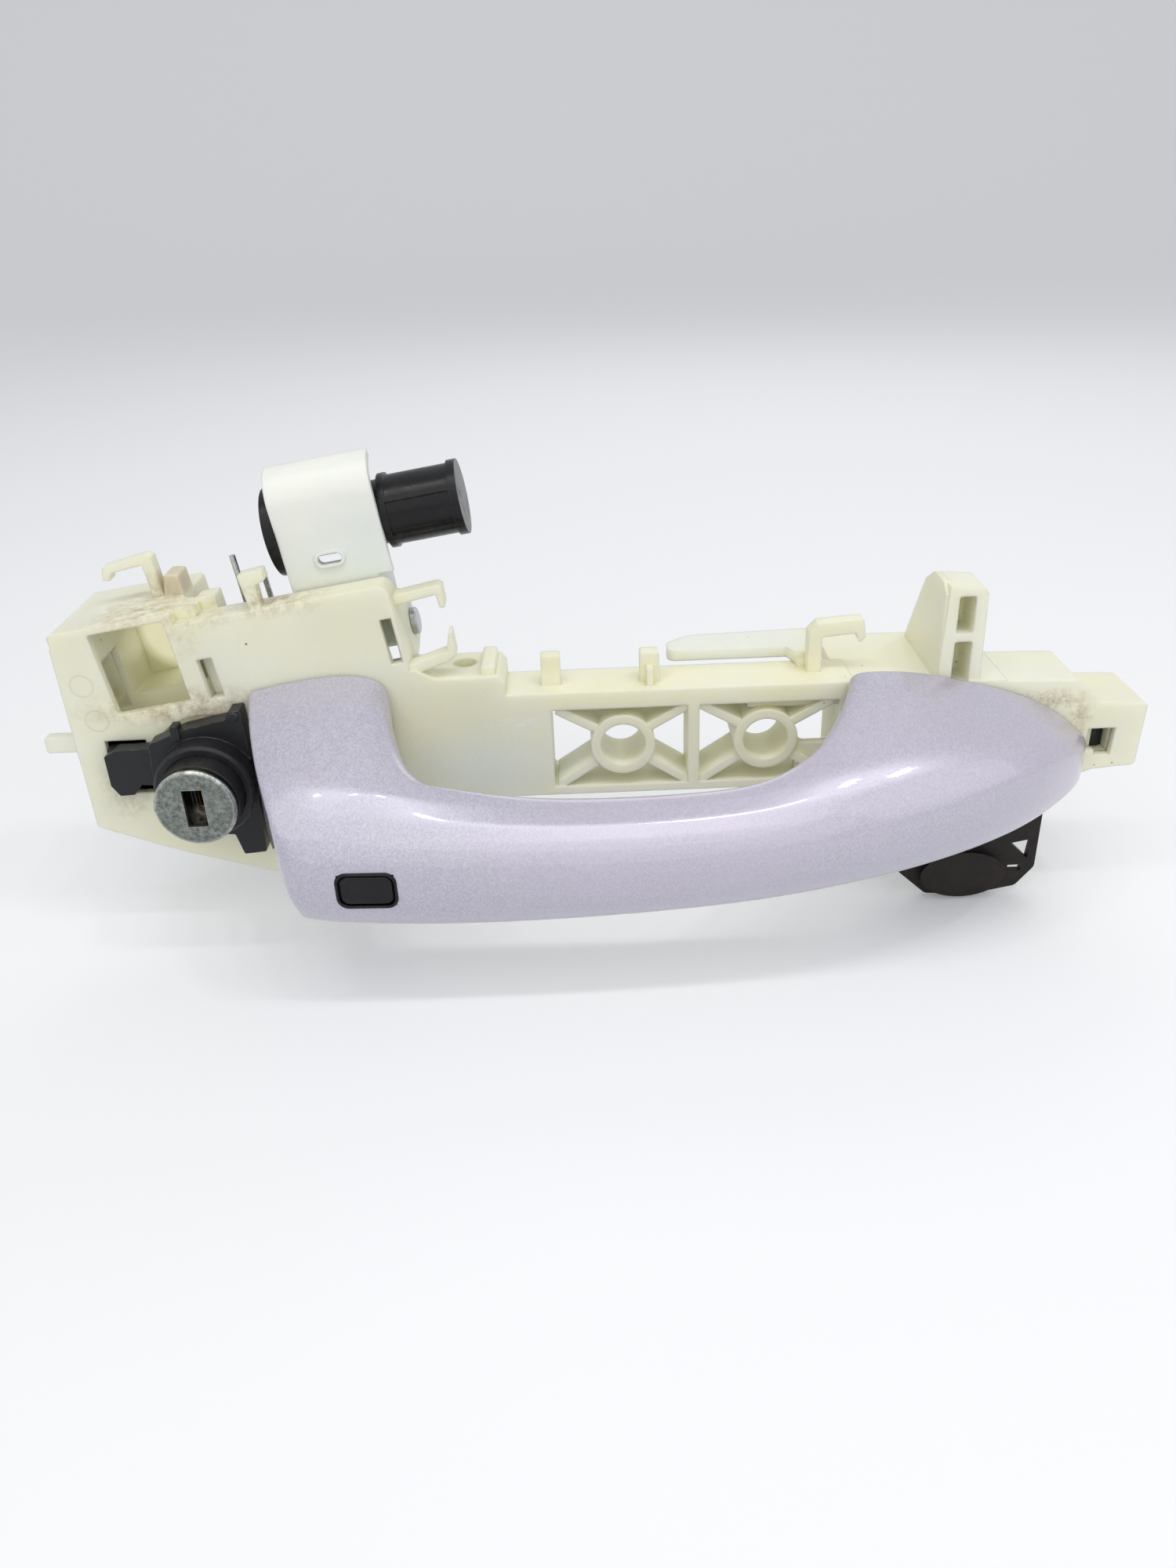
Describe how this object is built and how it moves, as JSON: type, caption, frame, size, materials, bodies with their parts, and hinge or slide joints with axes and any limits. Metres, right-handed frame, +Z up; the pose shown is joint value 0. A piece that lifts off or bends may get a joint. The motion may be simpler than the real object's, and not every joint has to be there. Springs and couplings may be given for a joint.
{
  "type": "car door handle",
  "caption": "Outside pull handle of a car door on its moulded frame, with a bell crank and counterweight, a key lock and a push button in the grip.",
  "frame": {"origin": "midway between the two ring bosses, on the frame's front face", "axes": "+X along the handle towards its hinge end, +Y into the door, +Z up as fitted"},
  "size_m": [0.3088, 0.0914, 0.1357],
  "materials": {
    "natural_nylon": "natural moulded nylon, slightly translucent",
    "white_nylon": "whiter milky moulded nylon",
    "zinc_steel": "bright zinc plate",
    "soft_bumper": "matt rubber",
    "black_housing": "charcoal black with worn edges",
    "zinc_casting": "die-cast zinc, worn bright at the rim",
    "brass": "stamped",
    "painted_shell": "silver lilac metallic paint under clear lacquer",
    "dark_nylon": "dark moulded nylon",
    "button_black": "satin black",
    "switch_body": "matt",
    "switch_steel": "bright",
    "board": "green solder mask",
    "ferrite": "sintered ferrite",
    "copper_wire": "enamelled copper wire",
    "weight_black": "glossy black moulding",
    "weight_steel": "oiled steel",
    "gasket_rubber": "dull dark brown-black"
  },
  "bodies": {
    "root": {"frame": "natural_nylon", "pivot_pin": "zinc_steel", "pin_clip": "zinc_steel", "lever_spring": "zinc_steel", "stop_bumper": "soft_bumper", "lock_housing": "black_housing", "housing_screw": "zinc_steel", "lock_sleeve": "zinc_casting", "lock_spring": "zinc_steel", "front_gasket": "gasket_rubber"},
    "grip": {"grip_outer": "painted_shell", "grip_inner": "dark_nylon", "rear_arm": "dark_nylon", "front_arm": "dark_nylon", "arm_screws": "zinc_steel", "button_bezel": "button_black", "push_switch": "switch_body", "sensor_board": "board", "switch_dome": "switch_steel", "aerial_core": "ferrite", "aerial_coil": "copper_wire"},
    "button": {"request_button": "button_black"},
    "crank": {"bell_crank": "white_nylon", "weight_sleeve": "weight_black", "weight_core": "weight_steel", "rod_clip": "white_nylon"},
    "plug": {"lock_plug": "zinc_casting", "lock_wafers": "brass", "tail_lever": "zinc_casting", "tail_clip": "zinc_steel"}
  },
  "joints": [
    {"name": "grip_swing", "type": "hinge", "parent": "root", "child": "grip", "pos_m": [0.116, 0.009, -0.003], "axis": [0, 0, 1], "range_deg": [0, 5.4], "stiffness_Nm_per_rad": 6, "springref_deg": -6.88},
    {"name": "crank_turn", "type": "hinge", "parent": "root", "child": "crank", "pos_m": [-0.09529, 0.0215, 0.02873], "axis": [-0.989, 0, -0.1478], "range_deg": [0, 45], "deforming": ["lever_spring"]},
    {"name": "key_turn", "type": "hinge", "parent": "root", "child": "plug", "pos_m": [-0.135, -0.0215, -0.0033], "axis": [0, -1, 0], "range_deg": [-75, 75], "stiffness_Nm_per_rad": 0.02, "deforming": ["lock_spring"]},
    {"name": "button_press", "type": "slide", "parent": "grip", "child": "button", "axis": [0, 1, 0], "range_m": [0, 0.0008], "stiffness_N_per_m": 1500, "springref_m": -0.0008}
  ],
  "couplings": [
    {"joint": "crank_turn", "follows": "grip_swing", "ratio": 8.3333}
  ]
}
